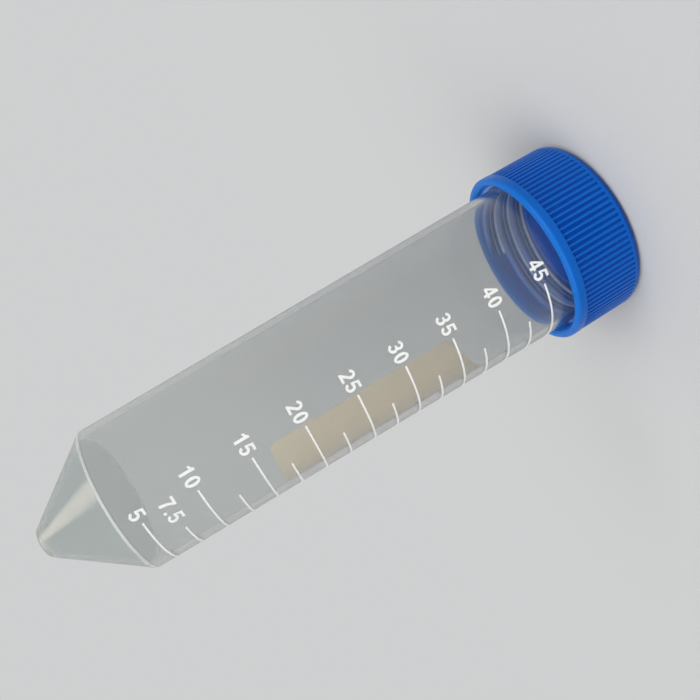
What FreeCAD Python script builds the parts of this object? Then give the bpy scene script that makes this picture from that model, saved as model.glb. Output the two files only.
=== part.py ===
import FreeCAD, Part
import os

import Sketcher
from FreeCAD import Placement, Rotation, Vector

# A 50 ml conical centrifuge tube with its screw cap: two mouldings on one axis.
#
# Both pieces are drawn about the tube's own axis, with the tip at height 0 and the
# cap above. The cone can't stand and the wall would roll, so the pair is then turned
# over: it stands on the flat top of its cap, as such tubes are stood on a bench.

PARTS_FOLDER = "parts"
SAME_PLACE = 1e-4

# Name, value (mm, degrees or a count) and what the size is.
SIZES = [
    ("cone_length", 14.7, "tip to the shoulder where the wall begins"),
    ("tip_width", 5.35, "blunt end of the cone, outside, before rounding"),
    ("tip_round", 1.2, "rounding around the blunt end"),
    ("tip_floor", 1.6, "thickness of the bottom"),
    ("shoulder_width", 27.4, "outside diameter at the shoulder"),
    ("shoulder_round", 0.5, "rounding of the shoulder, outside"),
    ("tube_length", 112.0, "tip to mouth"),
    ("mouth_width", 29.2, "outside diameter at the mouth: the wall has draft"),
    ("mouth_bevel", 0.25, "bevel of the mouth's two edges"),
    ("wall", 1.1, "wall of the tube"),
    ("thread_pitch", 3.15, "rise of the neck thread in one turn"),
    ("thread_turns", 2.2, "length of the neck thread"),
    ("thread_depth", 0.75, "how far the thread stands out at its start"),
    ("thread_foot", 1.7, "width of the thread at the wall"),
    ("thread_crest", 0.7, "width of the thread at its top"),
    ("thread_start", 9.5, "mouth down to the middle of the thread's start"),
    ("thread_angle", 103.0, "turn of the thread's start from the X axis"),
    ("cap_wall", 1.53, "wall of the cap at the smooth band around its open end"),
    ("cap_height", 14.2, "open end to flat top"),
    ("cap_roof", 1.6, "thickness of the top"),
    ("cap_draft", 0.15, "how much the radius shrinks from the band to the top"),
    ("cap_rim_round", 0.7, "rounding of the open end, outside"),
    ("cap_lead_in", 0.4, "bevel of the open end, inside"),
    ("cap_top_round", 1.5, "rounding around the flat top"),
    ("band_height", 1.9, "height of the smooth band"),
    ("band_step", 0.1, "how far the band stands out past the ribs"),
    ("rib_count", 98, "grip ribs around the cap"),
    ("rib_gap", 0.8, "width of a groove between ribs, at its mouth"),
    ("rib_gap_floor", 0.2, "width of a groove between ribs, at its floor"),
    ("rib_depth", 0.3, "depth of a groove between ribs"),
    ("rib_end", 0.2, "top of the grooves down from where the top's rounding starts"),
    ("thread_clearance", 0.25, "cap's bore past the thread's crest, on the radius"),
    ("seat_gap", 0.05, "mouth to the underside of the cap's roof"),
    ("plug_depth", 2.6, "how far the cap's sealing ring reaches into the mouth"),
    ("plug_wall", 0.9, "thickness of the sealing ring"),
    ("plug_clearance", 0.15, "sealing ring to the inside of the mouth, on the radius"),
    ("plug_bevel", 0.3, "bevel on the sealing ring's outer edge"),
]

doc = FreeCAD.newDocument("conical_tube")
sheet = doc.addObject("Spreadsheet::Sheet", "Sizes")


def fill_sheet():
    """Puts one size in each row, with its name as the alias of its cell."""
    for row, (name, size, meaning) in enumerate(SIZES, start=1):
        sheet.set(f"A{row}", name)
        sheet.set(f"B{row}", str(size))
        sheet.set(f"C{row}", meaning)
        sheet.setAlias(f"B{row}", name)
    doc.recompute()


def size(name):
    """The value of one size."""
    return float(getattr(sheet, name))


# Lengths that follow from the sizes, as expressions that any sketch can be bound to.
S = "Sizes."
TIP_RADIUS = f"{S}tip_width / 2"
SHOULDER_RADIUS = f"{S}shoulder_width / 2"
MOUTH_RADIUS = f"{S}mouth_width / 2"
BORE_RADIUS = f"{MOUTH_RADIUS} - {S}wall"
WALL_DRAFT = f"(({MOUTH_RADIUS} - {SHOULDER_RADIUS}) / ({S}tube_length - {S}cone_length))"
CONE_ANGLE = f"atan(({SHOULDER_RADIUS} - {TIP_RADIUS}) / {S}cone_length)"
INNER_TIP_RADIUS = (
    f"{TIP_RADIUS} + {S}tip_floor * tan({CONE_ANGLE}) - {S}wall / cos({CONE_ANGLE})"
)
INNER_SHOULDER_RISE = f"{S}wall * tan({CONE_ANGLE} / 2)"
INNER_SHOULDER_RADIUS = f"{SHOULDER_RADIUS} - {S}wall + {WALL_DRAFT} * {INNER_SHOULDER_RISE}"

THREAD_START = f"{S}tube_length - {S}thread_start"
NECK_RADIUS = f"({MOUTH_RADIUS} - {WALL_DRAFT} * {S}thread_start)"
THREAD_TOP_RADIUS = f"{NECK_RADIUS} + {S}thread_depth"

CAP_SEAT = f"{S}tube_length + {S}seat_gap"
CAP_TOP = f"{CAP_SEAT} + {S}cap_roof"
CAP_RIM = f"{CAP_TOP} - {S}cap_height"
CAP_BORE_RADIUS = f"{THREAD_TOP_RADIUS} + {S}thread_clearance"
CAP_RADIUS = f"{CAP_BORE_RADIUS} + {S}cap_wall"
RIB_RADIUS = f"{CAP_RADIUS} - {S}band_step"
RIB_TOP_RADIUS = f"{RIB_RADIUS} - {S}cap_draft"
RIB_START = f"{CAP_RIM} + {S}band_height"
RIB_LENGTH = f"{S}cap_height - {S}band_height - {S}cap_top_round - {S}rib_end"
PLUG_RADIUS = f"{BORE_RADIUS} - {S}plug_clearance"


def value(expression):
    """The number that an expression gives with the sheet's present sizes."""
    return float(sheet.evalExpression(expression))


def new_body(name):
    body = doc.addObject("PartDesign::Body", name)
    body.Label = name
    return body


def new_sketch(body, name, plane):
    """A sketch on one of the body's own origin planes."""
    sketch = body.newObject("Sketcher::SketchObject", name)
    origin_plane = next(f for f in body.Origin.OriginFeatures if f.Role == plane)
    sketch.AttachmentSupport = [(origin_plane, "")]
    sketch.MapMode = "FlatFace"
    return sketch


def draw_outline(sketch, corners):
    """Draws a closed outline and binds each corner's place to its two expressions.

    An expression of "0" puts the corner on the sketch's axis instead.
    """
    points = [Vector(value(across), value(up), 0) for across, up in corners]
    lines = []
    for start, end in zip(points, points[1:] + points[:1]):
        lines.append(sketch.addGeometry(Part.LineSegment(start, end), False))
    for line, following in zip(lines, lines[1:] + lines[:1]):
        sketch.addConstraint(Sketcher.Constraint("Coincident", line, 2, following, 1))
    for line, corner, point in zip(lines, corners, points):
        measures = (("DistanceX", corner[0], point.x, -2), ("DistanceY", corner[1], point.y, -1))
        for kind, expression, length, axis in measures:
            if expression == "0":
                sketch.addConstraint(Sketcher.Constraint("PointOnObject", line, 1, axis))
                continue
            index = sketch.addConstraint(
                Sketcher.Constraint(kind, -1, 1, line, 1, length)
            )
            sketch.setExpression(f"Constraints[{index}]", expression)
    doc.recompute()


def revolve(body, name, corners):
    """Turns a half section, drawn across and up from the axis, into a solid."""
    sketch = new_sketch(body, f"{name}_section", "XZ_Plane")
    draw_outline(sketch, corners)
    turned = body.newObject("PartDesign::Revolution", f"{name}_turned")
    turned.Profile = sketch
    turned.ReferenceAxis = (sketch, ["V_Axis"])
    turned.Angle = 360
    doc.recompute()
    return turned


def circle_edges(feature, circles):
    """Names of the feature's full circles about the axis at the given (radius, height)."""
    names = []
    for radius, height in circles:
        for number, edge in enumerate(feature.Shape.Edges, start=1):
            if not isinstance(edge.Curve, Part.Circle):
                continue
            off = abs(edge.Curve.Radius - radius) + abs(edge.Curve.Center.z - height)
            if off < SAME_PLACE:
                names.append(f"Edge{number}")
                break
        else:
            raise RuntimeError(f"{feature.Name} has no edge at radius {radius}, height {height}")
    return names


def dress(body, kind, name, base, circles, alias):
    """Rounds or bevels the circular edges of a feature; each circle is two expressions."""
    places = [(value(radius), value(height)) for radius, height in circles]
    feature = body.newObject(f"PartDesign::{kind}", name)
    feature.Base = (base, circle_edges(base, places))
    measure = "Radius" if kind == "Fillet" else "Size"
    feature.setExpression(measure, f"{S}{alias}")
    doc.recompute()
    return feature


def make_tube():
    """The tube: a cone, a long wall with a little draft, and a threaded neck."""
    body = new_body("tube")
    base = revolve(
        body,
        "tube",
        [
            ("0", "0"),
            (TIP_RADIUS, "0"),
            (SHOULDER_RADIUS, f"{S}cone_length"),
            (MOUTH_RADIUS, f"{S}tube_length"),
            (BORE_RADIUS, f"{S}tube_length"),
            (INNER_SHOULDER_RADIUS, f"{S}cone_length + {INNER_SHOULDER_RISE}"),
            (INNER_TIP_RADIUS, f"{S}tip_floor"),
            ("0", f"{S}tip_floor"),
        ],
    )
    base = dress(body, "Fillet", "round_tip", base, [(TIP_RADIUS, "0")], "tip_round")
    base = dress(
        body, "Fillet", "round_shoulder", base,
        [(SHOULDER_RADIUS, f"{S}cone_length")], "shoulder_round",
    )
    base = dress(
        body, "Chamfer", "bevel_mouth", base,
        [(MOUTH_RADIUS, f"{S}tube_length"), (BORE_RADIUS, f"{S}tube_length")], "mouth_bevel",
    )
    add_thread(body)
    return body


def add_thread(body):
    """The neck's right-hand thread, a trapezium swept up around the wall."""
    sketch = new_sketch(body, "thread_section", "XZ_Plane")
    turn = Rotation(Vector(0, 1, 0), size("thread_angle"))
    sketch.AttachmentOffset = Placement(Vector(0, 0, 0), turn)
    # The foot is set into the wall, so that the ridge has no gap under it.
    foot = f"{NECK_RADIUS} - {S}wall / 2"
    draw_outline(
        sketch,
        [
            (foot, f"{THREAD_START} - {S}thread_foot / 2"),
            (NECK_RADIUS, f"{THREAD_START} - {S}thread_foot / 2"),
            (THREAD_TOP_RADIUS, f"{THREAD_START} - {S}thread_crest / 2"),
            (THREAD_TOP_RADIUS, f"{THREAD_START} + {S}thread_crest / 2"),
            (NECK_RADIUS, f"{THREAD_START} + {S}thread_foot / 2"),
            (foot, f"{THREAD_START} + {S}thread_foot / 2"),
        ],
    )
    thread = body.newObject("PartDesign::AdditiveHelix", "neck_thread")
    thread.Profile = sketch
    thread.ReferenceAxis = (sketch, ["V_Axis"])
    thread.Mode = "pitch-turns-angle"
    thread.setExpression("Pitch", f"{S}thread_pitch")
    thread.setExpression("Turns", f"{S}thread_turns")
    thread.LeftHanded = False
    doc.recompute()
    return thread


def make_cap():
    """The cap: a band, a ribbed skirt and a flat top, with a sealing ring inside."""
    body = new_body("cap")
    base = revolve(
        body,
        "cap",
        [
            (CAP_BORE_RADIUS, CAP_RIM),
            (CAP_RADIUS, CAP_RIM),
            (CAP_RADIUS, RIB_START),
            (RIB_RADIUS, RIB_START),
            (RIB_TOP_RADIUS, CAP_TOP),
            ("0", CAP_TOP),
            ("0", CAP_SEAT),
            (f"{PLUG_RADIUS} - {S}plug_wall", CAP_SEAT),
            (f"{PLUG_RADIUS} - {S}plug_wall", f"{CAP_SEAT} - {S}plug_depth"),
            (PLUG_RADIUS, f"{CAP_SEAT} - {S}plug_depth"),
            (PLUG_RADIUS, CAP_SEAT),
            (CAP_BORE_RADIUS, CAP_SEAT),
        ],
    )
    base = dress(body, "Fillet", "round_rim", base, [(CAP_RADIUS, CAP_RIM)], "cap_rim_round")
    base = dress(body, "Fillet", "round_top", base, [(RIB_TOP_RADIUS, CAP_TOP)], "cap_top_round")
    base = dress(body, "Chamfer", "lead_in", base, [(CAP_BORE_RADIUS, CAP_RIM)], "cap_lead_in")
    base = dress(
        body, "Chamfer", "bevel_plug", base,
        [(PLUG_RADIUS, f"{CAP_SEAT} - {S}plug_depth")], "plug_bevel",
    )
    cut_ribs(body, base)
    return body


def cut_ribs(body, base):
    """Leaves the grip ribs standing between grooves cut up the skirt."""
    sketch = new_sketch(body, "groove_section", "XY_Plane")
    sketch.setExpression("AttachmentOffset.Base.z", RIB_START)
    floor = f"{RIB_RADIUS} - {S}rib_depth"
    outside = f"{RIB_RADIUS} + {S}band_step / 2"
    draw_outline(
        sketch,
        [
            (floor, f"-{S}rib_gap_floor / 2"),
            (RIB_RADIUS, f"-{S}rib_gap / 2"),
            (outside, f"-{S}rib_gap / 2"),
            (outside, f"{S}rib_gap / 2"),
            (RIB_RADIUS, f"{S}rib_gap / 2"),
            (floor, f"{S}rib_gap_floor / 2"),
        ],
    )
    groove = body.newObject("PartDesign::Pocket", "rib_groove")
    groove.Profile = sketch
    groove.Type = "Length"
    groove.Reversed = True
    groove.setExpression("Length", RIB_LENGTH)
    doc.recompute()
    if groove.Shape.Volume >= base.Shape.Volume:
        raise RuntimeError("the groove between ribs cuts nothing")
    ribs = body.newObject("PartDesign::PolarPattern", "ribs")
    ribs.Originals = [groove]
    ribs.Axis = (sketch, ["N_Axis"])
    ribs.Angle = 360
    ribs.setExpression("Occurrences", f"{S}rib_count")
    body.Tip = ribs
    doc.recompute()
    return ribs


def standing_placement():
    """Turns the pair over, to stand on the cap's flat top."""
    return Placement(Vector(0, 0, value(CAP_TOP)), Rotation(Vector(0, 1, 0), 180))


def check_document(bodies):
    """Stops if any feature failed or any body isn't one sound solid."""
    for item in doc.Objects:
        if "Invalid" in item.State or "Error" in item.State:
            raise RuntimeError(f"{item.Name} is {item.State}")
    for body in bodies:
        shape = body.Shape
        if shape.isNull() or not shape.isValid() or len(shape.Solids) != 1:
            raise RuntimeError(f"{body.Label} isn't one valid solid")


def main():
    os.makedirs(PARTS_FOLDER, exist_ok=True)
    fill_sheet()
    bodies = [make_tube(), make_cap()]
    for body in bodies:
        body.Placement = standing_placement()
    doc.recompute()
    check_document(bodies)
    for body in bodies:
        body.Shape.exportStep(os.path.join(PARTS_FOLDER, f"{body.Label}.step"))
        box = body.Shape.BoundBox
        print(
            f"{body.Label}: {body.Shape.Volume:.1f} mm3,",
            f"X {box.XMin:.3f}..{box.XMax:.3f},",
            f"Y {box.YMin:.3f}..{box.YMax:.3f},",
            f"Z {box.ZMin:.3f}..{box.ZMax:.3f}",
        )


main()
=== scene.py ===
"""A capped 50 ml conical tube, standing on its cap: looks, light and camera.

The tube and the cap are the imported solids. This script gives them their plastics and
adds the printed scale, the writing patch and the thread inside the cap.
"""

import math

import bmesh
import bpy
from mathutils import Matrix, Vector


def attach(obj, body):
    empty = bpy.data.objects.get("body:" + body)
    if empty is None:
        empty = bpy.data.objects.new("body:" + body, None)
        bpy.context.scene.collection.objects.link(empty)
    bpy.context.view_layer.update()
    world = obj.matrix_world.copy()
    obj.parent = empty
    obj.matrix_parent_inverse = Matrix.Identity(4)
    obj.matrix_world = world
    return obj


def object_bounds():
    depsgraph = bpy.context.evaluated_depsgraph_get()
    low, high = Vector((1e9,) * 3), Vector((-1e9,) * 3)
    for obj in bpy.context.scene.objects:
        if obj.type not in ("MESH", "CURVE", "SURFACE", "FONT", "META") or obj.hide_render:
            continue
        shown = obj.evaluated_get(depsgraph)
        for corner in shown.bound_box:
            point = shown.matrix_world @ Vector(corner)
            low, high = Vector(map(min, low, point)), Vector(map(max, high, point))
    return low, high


MM = 0.001

# The tube's wall, in mm from its tip. It carries the print, so these are part.py's sizes.
SHOULDER_AT = 14.7
SHOULDER_RADIUS = 13.7
MOUTH_AT = 112.0
MOUTH_RADIUS = 14.6

# The neck's thread and the cap, from part.py too. The cap's ribbed skirt ends at the smooth
# band round its rim. An angle is the one that around() takes.
PITCH = 3.15
NECK_THREAD_AT = MOUTH_AT - 9.5
NECK_THREAD_ANGLE = 193.0
NECK_CREST_RADIUS = 15.26
CAP_BORE_RADIUS = 15.51
CAP_HEIGHT = 14.2
CAP_ROOF = 1.6
SKIRT_HEIGHT = 12.3
SKIRT_DRAFT = 0.15
RIB_CREST_RADIUS = 16.79

# Printing ink is a film that bonds to the wall. Its foot lies just inside it, deeper than
# the wall's flat facets cut in, so that no air shows between them.
INK_FOOT = -0.03
INK_THICKNESS = 0.06

# The scale: where its lines lie (mm), from which angle to which they run, the size of its
# digits (mm) and the angle at which its numbers end.
FIRST_MARK_AT = SHOULDER_AT + 3.84
LOWER_STEP = 9.97
UPPER_STEP = 9.34
STEPS_OF_EACH = 4
ML_PER_STEP = 5.0
LINE_WIDTH = 0.33
LONG_LINE = (22.2, 86.0)
SHORT_LINE = (43.3, 86.0)
DIGIT_HEIGHT = 2.7
DIGIT_WIDTH = 0.62 * DIGIT_HEIGHT
DIGIT_PITCH = 2.0
POINT_PITCH = 0.85
NUMBER_END = 18.6

# The 7.5 stands beside its short line and a little above it.
SMALL_NUMBER_END = 34.5
SMALL_NUMBER_AT = SHOULDER_AT + 8.6

# The writing patch on the far side of the wall: the angles and the mm from the tip that it
# lies between, and the radius of its corners (mm).
PATCH_ANGLES = (86.0, 153.3)
PATCH_AT = (40.7, 82.9)
PATCH_CORNER = 1.5

# Degrees from one cross section to the next of what bends round the tube, and from one
# point to the next of a curve in its own plane.
PRINT_STEP = 1.5
DIGIT_STEP = 2.0
THREAD_STEP = 3.0
DIGIT_CURVE_STEP = 12.0
CORNER_CURVE_STEP = 10

# The tube's clear plastic, the light that it lets into its shadow, and the colour of its
# haze at each place. Along the wall the haze is painted darker by the cap as shade and
# lighter by the cone as light. The tip's and the seam's pale colours are painted highlights,
# and the thread's blue is a painted reflection of the cap.
CLEAR = (0.856, 0.868, 0.862, 1.0)
SHADOW = (0.99, 0.995, 0.992, 1.0)
WALL_BY_CAP_SHADED_HAZE = (0.13, 0.15, 0.16, 1.0)
WALL_BY_CONE_LIT_HAZE = (0.36, 0.39, 0.38, 1.0)
CONE_HAZE = (0.34, 0.40, 0.385, 1.0)
TIP_HAZE_AND_HIGHLIGHT = (0.62, 0.62, 0.57, 1.0)
SEAM_HIGHLIGHT = (0.85, 0.85, 0.83, 1.0)
THREAD_HAZE_AND_CAP_REFLECTION = (0.52, 0.57, 0.67, 1.0)

# The cap's blues. A pair is blended by a slow noise. The grooves' blue is painted shade and
# the crests' lighter blue a painted highlight, which the flat top shares. The lip's blue is a
# painted highlight, the inside's blues a painted glow of light through the wall, brightest
# near the rim, and the thread inside has a painted glint.
GROOVE_SHADE_BLUES = ((0.0, 0.047, 0.30, 1.0), (0.0, 0.053, 0.33, 1.0))
CREST_HIGHLIGHT_AND_TOP_BLUES = ((0.0, 0.088, 0.40, 1.0), (0.003, 0.102, 0.45, 1.0))
LIP_HIGHLIGHT_BLUE = (0.002, 0.118, 0.46, 1.0)
INSIDE_GLOW_BLUE = (0.005, 0.08, 0.42, 1.0)
INSIDE_RIM_GLOW_BLUE = (0.0, 0.14, 0.55, 1.0)
CAP_THREAD_GLINT_BLUE = (0.15, 0.26, 0.66, 1.0)

# The inks, where they are pale and where they are dark.
WHITE_INK = ((0.90, 0.90, 0.88, 1.0), (0.83, 0.83, 0.81, 1.0))
CREAM_INK = ((0.98, 0.85, 0.68, 1.0), (0.95, 0.815, 0.64, 1.0))

# The studio. The floor fades into the backdrop between two distances (m). A wide light's
# disc is this many degrees across.
BACKDROP = (0.62, 0.625, 0.63, 1.0)
FLOOR = (0.475, 0.479, 0.483, 1.0)
FLOOR_GRAIN = tuple(0.97 * part for part in FLOOR[:3]) + (1.0,)
FLOOR_RADIUS_M = 4.0
FLOOR_FADE_M = (0.12, 0.6)
EVEN_LIGHT = (1.0, 1.0, 1.0, 1.0)
EVEN_STRENGTH = 0.66
LAMP = (1.0, 0.84, 0.67, 1.0)
WIDE_LIGHT_SPREAD = 50.0

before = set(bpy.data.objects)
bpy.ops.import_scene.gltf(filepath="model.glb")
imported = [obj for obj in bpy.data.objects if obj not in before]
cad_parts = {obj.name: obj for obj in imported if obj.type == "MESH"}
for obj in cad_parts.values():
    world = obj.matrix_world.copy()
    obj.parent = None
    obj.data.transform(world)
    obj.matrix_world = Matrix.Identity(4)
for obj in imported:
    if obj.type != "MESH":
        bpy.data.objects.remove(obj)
cad_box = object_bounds()
TIP_HEIGHT = cad_box[1].z / MM
SEAM_HEIGHT = TIP_HEIGHT - SHOULDER_AT


def wall_radius(at):
    """Outside radius of the tube's wall, at mm from the tip."""
    share = (at - SHOULDER_AT) / (MOUTH_AT - SHOULDER_AT)
    return SHOULDER_RADIUS + (MOUTH_RADIUS - SHOULDER_RADIUS) * share


def around(angle, at, radius):
    """A point about the axis. Angle 0 faces the scale's reader, who sees it grow to the right
    when the tip is down; at is mm from the tip."""
    a = math.radians(angle)
    return Vector((-radius * math.sin(a), -radius * math.cos(a), TIP_HEIGHT - at)) * MM


def on_wall(angle, at, out):
    return around(angle, at, wall_radius(at) + out)


def new_object(name, data):
    made = bpy.data.objects.new(name, data)
    bpy.context.scene.collection.objects.link(made)
    return made


def new_piece(name, form, body, material):
    """Turns a bmesh into a piece that rides on a body."""
    bmesh.ops.recalc_face_normals(form, faces=form.faces)
    mesh = bpy.data.meshes.new(name)
    form.to_mesh(mesh)
    form.free()
    mesh.materials.append(material)
    piece = new_object(name, mesh)
    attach(piece, body)


def join_rings(form, rings):
    """Makes a closed solid of a row of cross sections, each with four corners."""
    for ring, following in zip(rings, rings[1:]):
        for i in range(4):
            j = (i + 1) % 4
            form.faces.new((ring[i], ring[j], following[j], following[i]))
    form.faces.new(rings[0])
    form.faces.new(list(reversed(rings[-1])))


# ---------------------------------------------------------------- printing

def add_film(form, columns, rows_of):
    """Adds a closed film of ink. columns are angles; rows_of(angle) gives its two ends."""
    rings = []
    for angle in columns:
        low, high = rows_of(angle)
        ring = []
        for at, out in ((low, 0), (high, 0), (high, INK_THICKNESS), (low, INK_THICKNESS)):
            ring.append(form.verts.new(on_wall(angle, at, INK_FOOT + out)))
        rings.append(ring)
    join_rings(form, rings)


def spaced(low, high, step):
    """Even steps from low to high, none longer than step."""
    count = max(1, math.ceil((high - low) / step))
    return [low + (high - low) * i / count for i in range(count + 1)]


def marks():
    """Every mark of the scale, long and short by turns: its millilitres, mm from the tip."""
    found = []
    at = FIRST_MARK_AT
    for half_step in range(4 * STEPS_OF_EACH + 1):
        found.append((ML_PER_STEP * (1 + half_step / 2), at))
        at += (LOWER_STEP if half_step < 2 * STEPS_OF_EACH else UPPER_STEP) / 2
    return found


def make_lines(material):
    form = bmesh.new()
    for number, (_, at) in enumerate(marks()):
        low, high = LONG_LINE if number % 2 == 0 else SHORT_LINE
        edges = (at - LINE_WIDTH / 2, at + LINE_WIDTH / 2)
        add_film(form, spaced(low, high, PRINT_STEP), lambda angle: edges)
    new_piece("scale_lines", form, "tube", material)


def make_patch(material):
    """The writing patch, with rounded corners."""
    form = bmesh.new()
    low, high = PATCH_ANGLES
    middle = sum(PATCH_AT) / 2
    degrees = math.degrees(1 / wall_radius(middle))
    corner = PATCH_CORNER * degrees

    def rows(angle):
        inside = min(angle - low, high - angle)
        cut = 0.0
        if inside < corner:
            cut = PATCH_CORNER * (1 - math.sqrt(max(0.0, 1 - (1 - inside / corner) ** 2)))
        return PATCH_AT[0] + cut, PATCH_AT[1] - cut

    bend = [low + corner * (1 - math.cos(math.radians(a)))
            for a in range(0, 90, CORNER_CURVE_STEP)]
    columns = bend + spaced(low + corner, high - corner, PRINT_STEP)
    columns += [low + high - angle for angle in reversed(bend)]
    add_film(form, columns, rows)
    new_piece("writing_patch", form, "tube", material)


def bow(centre, radii, start, end):
    """Points along an ellipse from one angle to another, for a digit's outline."""
    turns = spaced(min(start, end), max(start, end), DIGIT_CURVE_STEP)
    if end < start:
        turns.reverse()
    return [(centre[0] + radii[0] * math.cos(math.radians(a)),
             centre[1] + radii[1] * math.sin(math.radians(a))) for a in turns]


def digit_outlines(character):
    """The closed outlines of a bold plain digit, 1 high, with its foot at 0."""
    upper, lower = (0.30, 0.72), (0.30, 0.31)
    return {
        "0": [bow((0.31, 0.5), (0.30, 0.5), 0, 348),
              bow((0.31, 0.5), (0.105, 0.325), 0, 348)],
        "1": [[(0.28, 0.0), (0.47, 0.0), (0.47, 1.0), (0.33, 1.0), (0.24, 0.86), (0.08, 0.78),
               (0.08, 0.62), (0.28, 0.70)]],
        "2": [[(0.02, 0.0), (0.61, 0.0), (0.61, 0.17), (0.27, 0.17)]
              + bow((0.31, 0.70), (0.29, 0.30), -42, 168)
              + bow((0.31, 0.70), (0.11, 0.14), 168, -38) + [(0.02, 0.13)]],
        "3": [bow(upper, (0.275, 0.28), 165, -43) + bow(lower, (0.305, 0.31), 43, -165)
              + bow(lower, (0.12, 0.145), -165, 90) + [(0.20, 0.455), (0.20, 0.59)]
              + bow(upper, (0.10, 0.13), -90, 165)],
        "4": [[(0.355, 0.0), (0.535, 0.0), (0.535, 0.20), (0.64, 0.20), (0.64, 0.36),
               (0.535, 0.36), (0.535, 1.0), (0.37, 1.0), (0.0, 0.36), (0.0, 0.20),
               (0.355, 0.20)],
              [(0.355, 0.36), (0.355, 0.69), (0.165, 0.36)]],
        "5": [[(0.57, 1.0), (0.11, 1.0), (0.03, 0.46), (0.19, 0.44)]
              + bow((0.30, 0.325), (0.12, 0.155), 125, -160)
              + bow((0.30, 0.325), (0.305, 0.325), -163, 113) + [(0.235, 0.83), (0.57, 0.83)]],
        "7": [[(0.02, 1.0), (0.60, 1.0), (0.60, 0.86), (0.44, 0.52), (0.36, 0.0), (0.17, 0.0),
               (0.24, 0.45), (0.40, 0.83), (0.02, 0.83)]],
        ".": [[(0.0, 0.0), (0.19, 0.0), (0.19, 0.19), (0.0, 0.19)]],
    }[character]


def digit_form(character):
    """A digit as a closed bmesh, 1 high and 1 deep."""
    curve = bpy.data.curves.new("digit", "CURVE")
    curve.dimensions = "2D"
    curve.fill_mode = "BOTH"
    curve.extrude = 0.5
    for outline in digit_outlines(character):
        spline = curve.splines.new("POLY")
        spline.points.add(len(outline) - 1)
        for point, (x, y) in zip(spline.points, outline):
            point.co = (x, y, 0.0, 1.0)
        spline.use_cyclic_u = True
    holder = new_object("digit", curve)
    bpy.context.view_layer.update()
    mesh = bpy.data.meshes.new_from_object(holder.evaluated_get(
        bpy.context.evaluated_depsgraph_get()))
    bpy.data.objects.remove(holder)
    bpy.data.curves.remove(curve)
    form = bmesh.new()
    form.from_mesh(mesh)
    bpy.data.meshes.remove(mesh)
    bmesh.ops.remove_doubles(form, verts=form.verts, dist=1e-5)
    return form


def add_number(form, text, end_angle, at):
    """Adds a number whose last digit ends at an angle and whose middle is at mm from the tip."""
    radius = wall_radius(at)
    slice_width = math.radians(DIGIT_STEP) * radius / DIGIT_HEIGHT
    shift = 0.0
    placed = []
    for character in text:
        placed.append((character, shift))
        shift += DIGIT_PITCH if character != "." else POINT_PITCH
    width = shift - DIGIT_PITCH + DIGIT_WIDTH
    for character, shift in placed:
        digit = digit_form(character)
        xs = [vert.co.x for vert in digit.verts]
        for x in spaced(min(xs), max(xs), slice_width)[1:-1]:
            bmesh.ops.bisect_plane(
                digit, geom=digit.verts[:] + digit.edges[:] + digit.faces[:],
                plane_co=(x, 0, 0), plane_no=(1, 0, 0))
        for vert in digit.verts:
            x = vert.co.x * DIGIT_HEIGHT + shift - width
            y = (vert.co.y - 0.5) * DIGIT_HEIGHT
            out = (vert.co.z + 0.5) * INK_THICKNESS
            vert.co = on_wall(end_angle + math.degrees(x / radius), at + y, INK_FOOT + out)
        mesh = bpy.data.meshes.new("digit")
        digit.to_mesh(mesh)
        digit.free()
        form.from_mesh(mesh)
        bpy.data.meshes.remove(mesh)


def make_numbers(material):
    """A number at each long line, and the 7.5 at the first short one."""
    form = bmesh.new()
    for number, (millilitres, at) in enumerate(marks()):
        if number == 1:
            add_number(form, "7.5", SMALL_NUMBER_END, SMALL_NUMBER_AT)
        elif number % 2 == 0:
            add_number(form, f"{millilitres:.0f}", NUMBER_END, at)
    new_piece("scale_numbers", form, "tube", material)


# ---------------------------------------------------------------- the cap's thread

def make_cap_thread(material):
    """A ridge inside the cap that runs midway between the turns of the neck's thread."""
    turns = 2.5
    foot_half, crest_half = 0.62, 0.25
    sunk_in_wall = 0.05
    past_neck_crest = 0.5
    taper = 20.0
    least_height = 0.02
    foot_radius = CAP_BORE_RADIUS + sunk_in_wall
    crest_radius = NECK_CREST_RADIUS - past_neck_crest
    first_at = NECK_THREAD_AT - PITCH / 2
    sweep = 360.0 * turns
    form = bmesh.new()
    rings = []
    for turned in spaced(0.0, sweep, THREAD_STEP):
        grown = max(min(1.0, turned / taper, (sweep - turned) / taper), least_height)
        top = foot_radius + (crest_radius - foot_radius) * grown
        at = first_at + PITCH * turned / 360.0
        angle = NECK_THREAD_ANGLE + turned
        profile = ((foot_radius, -foot_half), (top, -crest_half), (top, crest_half),
                   (foot_radius, foot_half))
        rings.append([form.verts.new(around(angle, at + up, radius)) for radius, up in profile])
    join_rings(form, rings)
    new_piece("cap_thread", form, "cap", material)


# ---------------------------------------------------------------- materials

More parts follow.
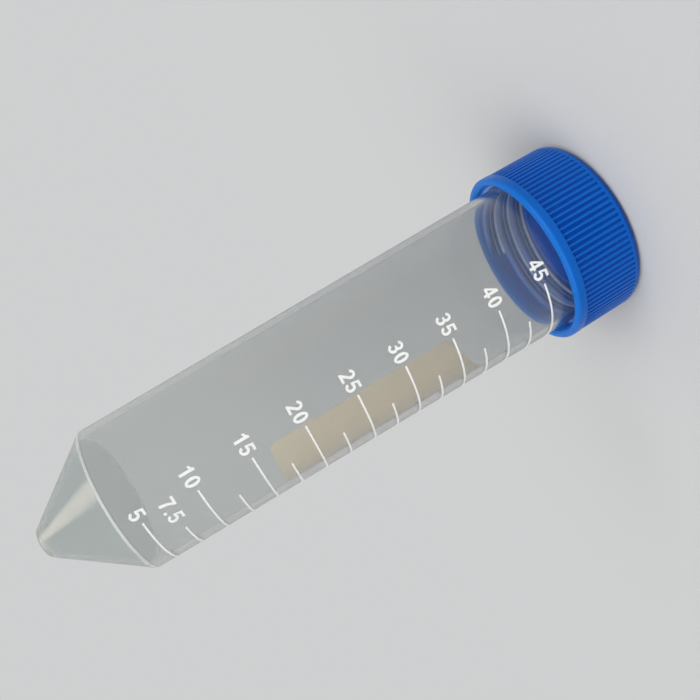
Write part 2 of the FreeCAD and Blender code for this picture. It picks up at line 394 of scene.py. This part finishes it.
class Nodes:
    """A short way to write a material's or the world's nodes."""

    def __init__(self, owner):
        owner.use_nodes = True
        self.tree = owner.node_tree
        self.tree.nodes.clear()

    def add(self, kind, settings=None, **inputs):
        node = self.tree.nodes.new(kind)
        for name, value in (settings or {}).items():
            setattr(node, name, value)
        for name, value in inputs.items():
            self.put(node.inputs[name.replace("_", " ")], value)
        return node

    def put(self, socket, value):
        if isinstance(value, bpy.types.NodeSocket):
            self.tree.links.new(value, socket)
        elif isinstance(value, bpy.types.Node):
            self.tree.links.new(value.outputs[0], socket)
        else:
            socket.default_value = value

    def math(self, operation, first, second=0.0):
        node = self.add("ShaderNodeMath", {"operation": operation})
        self.put(node.inputs[0], first)
        self.put(node.inputs[1], second)
        return node.outputs[0]

    def mapped(self, value, from_low, from_high, low, high):
        """A value's range turned into another one, smoothly and without going past its ends."""
        node = self.add("ShaderNodeMapRange", {"interpolation_type": "SMOOTHSTEP"})
        for name, number in (("Value", value), ("From Min", from_low), ("From Max", from_high),
                             ("To Min", low), ("To Max", high)):
            self.put(node.inputs[name], number)
        return node.outputs[0]

    def rise(self, value, low, high):
        """0 below low mm, 1 above high mm, smooth between."""
        return self.mapped(value, low * MM, high * MM, 0.0, 1.0)

    def fall(self, value, low, high):
        """1 below low mm, 0 above high mm, smooth between."""
        return self.mapped(value, low * MM, high * MM, 1.0, 0.0)

    def noise(self, scale, detail, stretch=(1.0, 1.0, 1.0)):
        place = self.add("ShaderNodeTexCoord").outputs["Object"]
        moved = self.add("ShaderNodeMapping", Vector=place, Scale=stretch)
        node = self.add("ShaderNodeTexNoise", Vector=moved, Scale=scale, Detail=detail)
        return node.outputs["Fac"]

    def blend(self, factor, first, second):
        node = self.add("ShaderNodeMix", {"data_type": "RGBA"})
        self.put(node.inputs["Factor"], factor)
        self.put(node.inputs[6], first)
        self.put(node.inputs[7], second)
        return node.outputs[2]

    def bump(self, height, strength, distance):
        return self.add("ShaderNodeBump", Height=height, Strength=strength,
                        Distance=distance).outputs[0]

    def mix(self, factor, first, second):
        node = self.add("ShaderNodeMixShader")
        for i, value in enumerate((factor, first, second)):
            self.put(node.inputs[i], value)
        return node.outputs[0]

    def finish(self, surface, kind="ShaderNodeOutputMaterial"):
        self.put(self.add(kind).inputs["Surface"], surface)


def height_and_radius(n):
    """Height above the bench, with the part at rest, and distance from the tube's axis."""
    place = n.add("ShaderNodeTexCoord").outputs["Object"]
    across = n.add("ShaderNodeVectorMath", {"operation": "MULTIPLY"})
    n.put(across.inputs[0], place)
    n.put(across.inputs[1], (1.0, 1.0, 0.0))
    length = n.add("ShaderNodeVectorMath", {"operation": "LENGTH"})
    n.put(length.inputs[0], across)
    height = n.add("ShaderNodeSeparateXYZ", Vector=place).outputs["Z"]
    return height, length.outputs["Value"]


def tube_plastic(material):
    """Clear polypropylene with a milky haze. There is more of it edge on, on slopes such as
    the cone, at the tip, at the shoulder's seam and on the thread. Its colour is painted
    darker towards the cap as shade and lighter towards the cone as light. The tip and the
    seam are paler as painted highlights, and the thread is blue as a painted reflection of
    the cap."""
    n = Nodes(material)
    cloud = n.noise(60.0, 2.0, (1.0, 1.0, 0.25))
    streaks = n.noise(420.0, 4.0, (1.0, 1.0, 0.06))
    bump = n.bump(streaks, 0.03, 0.0002)
    height, radius = height_and_radius(n)
    facing = n.add("ShaderNodeSeparateXYZ",
                   Vector=n.add("ShaderNodeTexCoord").outputs["Normal"])
    slope = n.mapped(n.math("ABSOLUTE", facing.outputs["Z"]), 0.1, 0.6, 0.0, 1.0)
    up_wall = n.rise(height, 20.0, SEAM_HEIGHT)
    # The shoulder's rounding lies a little below the seam.
    from_seam = n.math("ABSOLUTE", n.math("SUBTRACT", height, (SEAM_HEIGHT - 0.13) * MM))
    seam = n.fall(from_seam, 0.09, 0.19)
    tip = n.rise(height, TIP_HEIGHT - 2.4, TIP_HEIGHT - 0.6)
    thread = n.math("MULTIPLY", n.rise(radius, MOUTH_RADIUS, MOUTH_RADIUS + 0.2), slope)
    edge = n.add("ShaderNodeLayerWeight", Blend=0.5).outputs["Facing"]

    # The wall's haze is painted darker by the cap as shade and lighter by the cone as light.
    tint = n.blend(up_wall, WALL_BY_CAP_SHADED_HAZE, WALL_BY_CONE_LIT_HAZE)
    tint = n.blend(n.math("MULTIPLY", slope, 0.8), tint, CONE_HAZE)
    # The tip's paler, warm colour is a painted highlight on more haze.
    tint = n.blend(tip, tint, TIP_HAZE_AND_HIGHLIGHT)
    # The seam's near-white line is a painted highlight along the shoulder's rounding.
    tint = n.blend(seam, tint, SEAM_HIGHLIGHT)
    # The thread's blue is a painted reflection of the cap on its real haze.
    tint = n.blend(thread, tint, THREAD_HAZE_AND_CAP_REFLECTION)
    haze = n.math("ADD", n.mapped(edge, 0.7, 1.0, 0.0, 0.35),
                  n.mapped(cloud, 0.3, 0.7, 0.085, 0.115))
    # The extra milky share at the seam, the tip and the thread carries their painted highlights
    # and reflection.
    for share, amount in ((slope, 0.14), (tip, 0.25), (seam, 0.58), (thread, 0.68)):
        haze = n.math("ADD", haze, n.math("MULTIPLY", share, amount))

    clear = n.add("ShaderNodeBsdfPrincipled", Base_Color=CLEAR, Roughness=0.05, IOR=1.49,
                  Transmission_Weight=1.0, Normal=bump)
    skin = n.add("ShaderNodeBsdfPrincipled", Base_Color=tint, Roughness=0.3, IOR=1.49,
                 Normal=bump)
    milky = n.mix(0.4, skin, n.add("ShaderNodeBsdfTranslucent", Color=tint))
    plastic = n.mix(haze, clear, milky)
    in_shadow = n.add("ShaderNodeLightPath").outputs["Is Shadow Ray"]
    n.finish(n.mix(in_shadow, plastic, n.add("ShaderNodeBsdfTransparent", Color=SHADOW)))


def cap_plastic(material):
    """Royal blue moulded plastic with a satin skin. The grooves are darker with painted shade,
    the ribs' crests and the lip lighter with painted highlights, and the flat top as light as
    a crest. The inside is lighter with a painted glow of light through the wall, brightest
    near the rim, and the thread inside palest with a painted glint."""
    n = Nodes(material)
    height, radius = height_and_radius(n)
    cloud = n.noise(90.0, 3.0)
    # The skirt's draft is taken out, so that a rib's crest has one radius all the way.
    skirt = n.math("SUBTRACT", radius, n.math("MULTIPLY", height, SKIRT_DRAFT / SKIRT_HEIGHT))
    # A rib's crest gets a painted highlight and its groove painted shade.
    crest = n.rise(skirt, RIB_CREST_RADIUS - 0.11, RIB_CREST_RADIUS)
    # The roof lies between the cap's inside and its flat top, which is as light as a crest.
    above_roof = n.rise(height, CAP_ROOF - 0.7, CAP_ROOF - 0.2)
    flat_top = n.fall(height, 0.05, 0.6)
    pale = n.math("MAXIMUM", flat_top, crest)
    # The lip's lighter blue is a painted highlight on its rounding.
    lip = n.rise(height, CAP_HEIGHT - 1.0, CAP_HEIGHT - 0.1)
    # The inside's blue is a painted glow of light through the thin wall, brighter near the rim.
    inside = n.fall(radius, CAP_BORE_RADIUS + 0.09, CAP_BORE_RADIUS + 0.59)
    inside = n.math("MULTIPLY", above_roof, inside)
    near_rim = n.rise(height, CAP_HEIGHT - 2.3, CAP_HEIGHT - 0.9)
    # Within these radii and above this height there is only the thread.
    thread = n.math("MULTIPLY", n.fall(radius, 14.9, 15.4), n.rise(radius, 14.3, 14.6))
    thread = n.math("MULTIPLY", n.rise(height, 3.0, 4.0), thread)

    # Painted shade in the grooves, and the crests' painted highlight, also the flat top's
    # colour.
    colour = n.blend(pale, n.blend(cloud, *GROOVE_SHADE_BLUES), n.blend(cloud, *CREST_HIGHLIGHT_AND_TOP_BLUES))
    colour = n.blend(lip, colour, LIP_HIGHLIGHT_BLUE)
    colour = n.blend(inside, colour, n.blend(near_rim, INSIDE_GLOW_BLUE, INSIDE_RIM_GLOW_BLUE))
    # The thread's pale blue is a painted glint.
    colour = n.blend(thread, colour, CAP_THREAD_GLINT_BLUE)

    rough = n.mapped(cloud, 0.3, 0.7, 0.25, 0.33)
    bump = n.bump(n.noise(2600.0, 3.0), 0.15, 0.00012)
    n.finish(n.add("ShaderNodeBsdfPrincipled", Base_Color=colour, Roughness=rough, IOR=1.5,
                   Specular_IOR_Level=0.13, Normal=bump))


def ink(name, pale, dark, grain_scale):
    """Screen-printing ink: matt, a little uneven, and so thin that some light passes."""
    material = bpy.data.materials.new(name)
    n = Nodes(material)
    spread = n.mapped(n.noise(grain_scale, 4.0), 0.35, 0.75, 0.0, 1.0)
    colour = n.blend(spread, pale, dark)
    bump = n.bump(n.noise(grain_scale * 3, 3.0), 0.25, 0.00003)
    film = n.add("ShaderNodeBsdfPrincipled", Base_Color=colour,
                 Roughness=n.mapped(spread, 0.0, 1.0, 0.5, 0.62), Normal=bump)
    passing = n.add("ShaderNodeBsdfTranslucent", Color=colour)
    n.finish(n.mix(0.12, film, passing))
    return material


# ---------------------------------------------------------------- floor, light, camera

def seen_ray(n):
    """1 for rays that see the backdrop, straight or by way of gloss or clear plastic."""
    path = n.add("ShaderNodeLightPath")
    straight = n.math("MAXIMUM", path.outputs["Is Camera Ray"], path.outputs["Is Glossy Ray"])
    return n.math("MAXIMUM", straight, path.outputs["Is Transmission Ray"])


def make_floor():
    """A large round floor that runs out into the backdrop's colour."""
    form = bmesh.new()
    bmesh.ops.create_circle(form, cap_ends=True, segments=96, radius=FLOOR_RADIUS_M)
    mesh = bpy.data.meshes.new("floor")
    form.to_mesh(mesh)
    form.free()
    floor = new_object("floor", mesh)
    material = bpy.data.materials.new("floor_paper")
    n = Nodes(material)
    place = n.add("ShaderNodeTexCoord").outputs["Object"]
    away = n.add("ShaderNodeVectorMath", {"operation": "LENGTH"})
    n.put(away.inputs[0], place)
    far = n.mapped(away.outputs["Value"], *FLOOR_FADE_M, 0.0, 1.0)
    grain = n.noise(900.0, 4.0)
    colour = n.blend(grain, FLOOR, FLOOR_GRAIN)
    paper = n.add("ShaderNodeBsdfPrincipled", Base_Color=colour, Roughness=0.8,
                  Normal=n.bump(grain, 0.1, 0.0002))
    glow = n.add("ShaderNodeEmission", Color=BACKDROP, Strength=1.0)
    n.finish(n.mix(n.math("MULTIPLY", far, seen_ray(n)), paper, glow))
    floor.data.materials.append(material)


def direction(angle, lift):
    """Towards a light: angle as in around(), lift in degrees above the floor."""
    a, up = math.radians(angle), math.radians(lift)
    return Vector((-math.sin(a) * math.cos(up), -math.cos(a) * math.cos(up), math.sin(up)))


def lamp_glow(n, view, angle, lift, spread, strength):
    """A round soft lamp painted on the world: bright in its middle, out at its spread."""
    towards = n.add("ShaderNodeVectorMath", {"operation": "DOT_PRODUCT"})
    n.put(towards.inputs[0], view)
    n.put(towards.inputs[1], direction(angle, lift))
    return n.mapped(towards.outputs["Value"], math.cos(math.radians(spread)), 1.0, 0.0, strength)


def make_world():
    """Even light, and a plain backdrop where it is seen. Gloss also shows a soft lamp."""
    world = bpy.data.worlds.new("studio")
    bpy.context.scene.world = world
    n = Nodes(world)
    light = n.add("ShaderNodeBackground", Color=EVEN_LIGHT, Strength=EVEN_STRENGTH)
    view = n.add("ShaderNodeTexCoord").outputs["Generated"]
    shown = n.add("ShaderNodeBackground", Color=BACKDROP, Strength=1.0)
    overhead = lamp_glow(n, view, angle=-112.0, lift=75.0, spread=12.5, strength=2.6)
    glossy = n.add("ShaderNodeLightPath").outputs["Is Glossy Ray"]
    lamp = n.add("ShaderNodeBackground", Color=LAMP,
                 Strength=n.math("MULTIPLY", glossy, overhead))
    both = n.add("ShaderNodeAddShader")
    n.put(both.inputs[0], n.mix(seen_ray(n), light, shown))
    n.put(both.inputs[1], lamp)
    n.finish(both, "ShaderNodeOutputWorld")


def add_wide_light(name, angle, lift, strength):
    """A very large soft light, far enough off to light the floor evenly."""
    data = bpy.data.lights.new(name, "SUN")
    data.angle = math.radians(WIDE_LIGHT_SPREAD)
    data.energy = strength
    light = new_object(name, data)
    towards = direction(angle, lift)
    light.location = (cad_box[0] + cad_box[1]) / 2 + towards
    light.rotation_euler = towards.to_track_quat("Z", "Y").to_euler()


def make_camera():
    """The photograph's viewing angle, fitted to the tube's outline. It is rolled, because the
    tube stands on its cap here."""
    data = bpy.data.cameras.new("camera")
    data.sensor_width = 36.0
    data.lens = 37.87
    data.clip_start = 5 * MM
    camera = new_object("camera", data)
    away, height = 133.92, 68.34
    pan, tilt, roll = -0.812, -7.450, -120.59
    turn = Matrix.Rotation(math.radians(pan), 4, "Z")
    turn @= Matrix.Rotation(math.radians(90.0 + tilt), 4, "X")
    turn @= Matrix.Rotation(math.radians(roll), 4, "Z")
    camera.matrix_world = Matrix.Translation(Vector((0.0, -away, height)) * MM) @ turn
    bpy.context.scene.camera = camera


def dress(node, build):
    """Gives a CAD node its plastic."""
    material = bpy.data.materials.new(node.name + "_plastic")
    build(material)
    node.data.materials.clear()
    node.data.materials.append(material)
    return material


dress(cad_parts["tube"], tube_plastic)
blue = dress(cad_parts["cap"], cap_plastic)
white_ink = ink("white_ink", *WHITE_INK, grain_scale=2200.0)
cream_ink = ink("cream_ink", *CREAM_INK, grain_scale=1500.0)
make_lines(white_ink)
make_numbers(white_ink)
make_patch(cream_ink)
make_cap_thread(blue)

make_floor()
make_world()
add_wide_light("key", angle=-32.0, lift=43.0, strength=1.55)
add_wide_light("fill", angle=50.0, lift=48.0, strength=1.3)
make_camera()
bpy.context.scene.view_settings.view_transform = "Standard"
